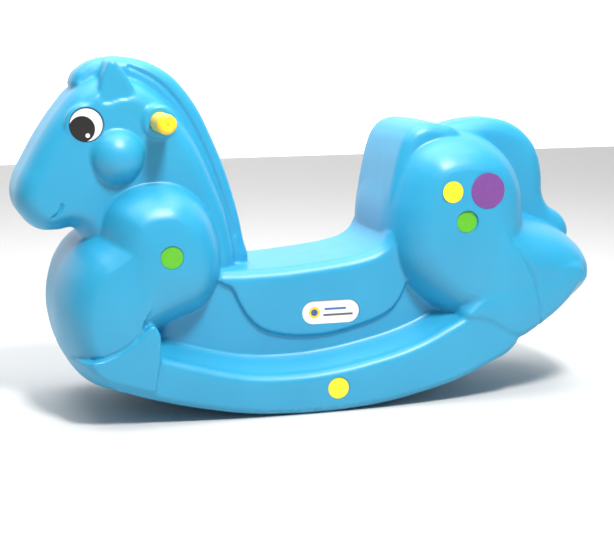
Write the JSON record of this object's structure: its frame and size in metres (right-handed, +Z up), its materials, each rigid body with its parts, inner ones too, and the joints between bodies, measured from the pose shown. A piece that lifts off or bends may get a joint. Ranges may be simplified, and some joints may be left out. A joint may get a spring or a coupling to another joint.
{
  "type": "rocking horse",
  "caption": "Low one-piece rocking horse for a toddler: hollow moulded body with saddle, backrest and curved runner, and a turning grip through the neck.",
  "frame": {"origin": "on the floor under the middle of the horse's length, in the mould's parting plane", "axes": "+X from nose to tail, +Y to the horse's right side, +Z up"},
  "size_m": [0.8617, 0.29, 0.5064],
  "materials": {
    "shell": "satin moulded polyethylene",
    "handle": "satin injection moulded",
    "eye_print": "printed film",
    "label_print": "printed film",
    "green_dot": "film",
    "yellow_dot": "film",
    "purple_dot": "film"
  },
  "bodies": {
    "horse": {"body_shell": "shell", "eye_print_left": "eye_print", "eye_print_right": "eye_print", "label_left": "label_print", "label_right": "label_print", "shoulder_dot_green_left": "green_dot", "shoulder_dot_green_right": "green_dot", "rocker_dot_yellow_left": "yellow_dot", "rocker_dot_yellow_right": "yellow_dot", "haunch_dot_yellow_left": "yellow_dot", "haunch_dot_yellow_right": "yellow_dot", "haunch_dot_purple_left": "purple_dot", "haunch_dot_purple_right": "purple_dot", "haunch_dot_green_left": "green_dot", "haunch_dot_green_right": "green_dot"},
    "handle": {"handle_left": "handle", "handle_right": "handle"}
  },
  "joints": [
    {"name": "handle_turn", "type": "hinge", "parent": "horse", "child": "handle", "pos_m": [-0.23, 0, 0.418], "axis": [0, 1, 0], "continuous": true}
  ]
}
